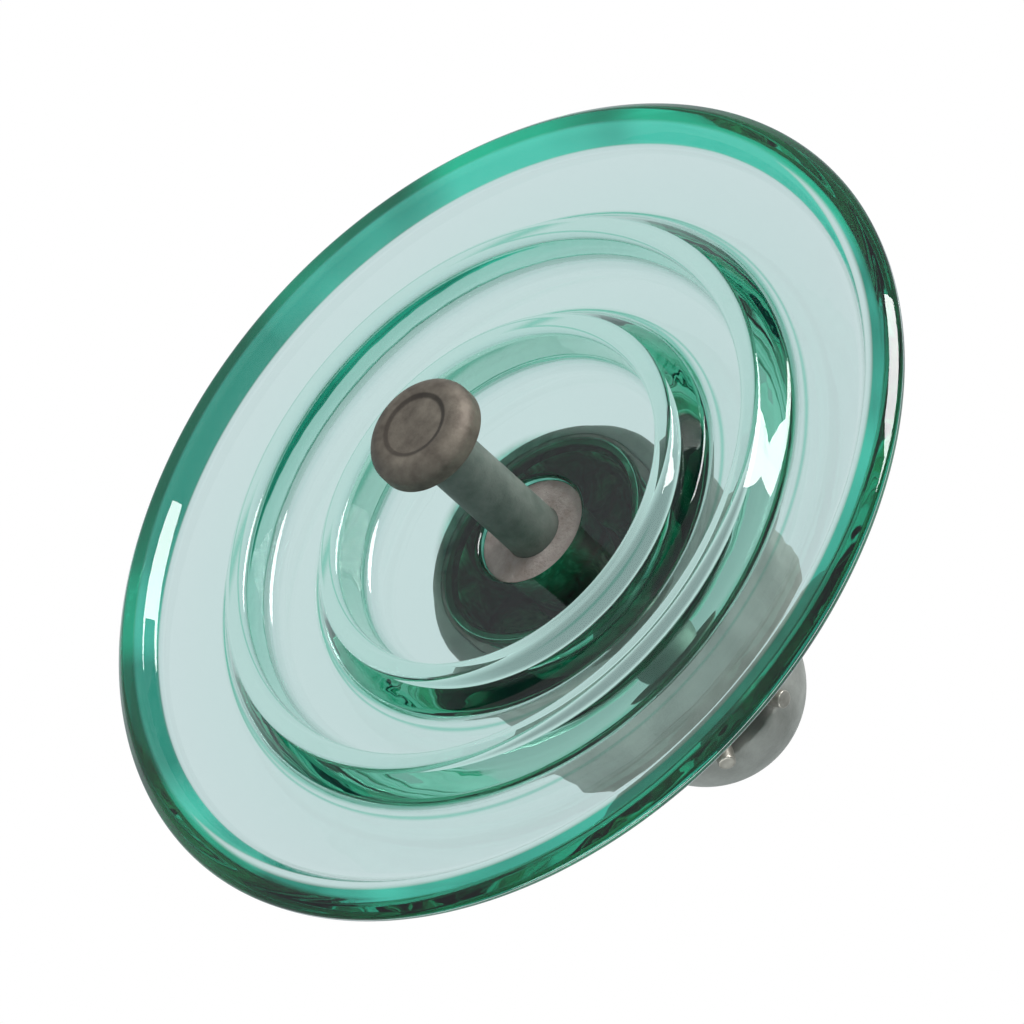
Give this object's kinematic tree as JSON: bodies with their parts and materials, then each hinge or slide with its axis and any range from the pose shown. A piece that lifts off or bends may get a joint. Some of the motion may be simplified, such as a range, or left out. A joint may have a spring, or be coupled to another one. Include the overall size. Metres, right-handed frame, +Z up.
{
  "type": "cap and pin glass disc insulator",
  "caption": "Toughened glass suspension insulator disc with iron cap, ball pin and a sliding W clip that locks the socket.",
  "frame": {"origin": "coupling point of the socket: centre of the end face of the ball that the unit above puts into the cap; the next coupling point lies 146 mm below it", "axes": "+Z up along the axis as the unit hangs, cap above and pin below; +Y out of the socket's mouth, -Y out of the clip window"},
  "size_m": [0.255, 0.255, 0.169],
  "materials": {
    "glass": "pressed toughened glass, green in depth",
    "cap_iron": "hot-dip galvanised malleable iron, dull grey",
    "pin_steel": "forged and galvanised steel, weathered",
    "clip_metal": "round spring wire, dull",
    "cement": "set cement, matt, pinkish grey",
    "cushion": "bitumen-soaked pad, sealed inside"
  },
  "bodies": {
    "insulator": {"glass_shell": "glass", "cap": "cap_iron", "pin": "pin_steel", "cap_cement": "cement", "pin_cement": "cement", "head_cushion": "cushion", "pin_cushion": "cushion"},
    "clip": {"locking_clip": "clip_metal"}
  },
  "joints": [
    {"name": "clip_slide", "type": "slide", "parent": "insulator", "child": "clip", "axis": [0, -1, 0], "range_m": [0, 0.016]}
  ]
}
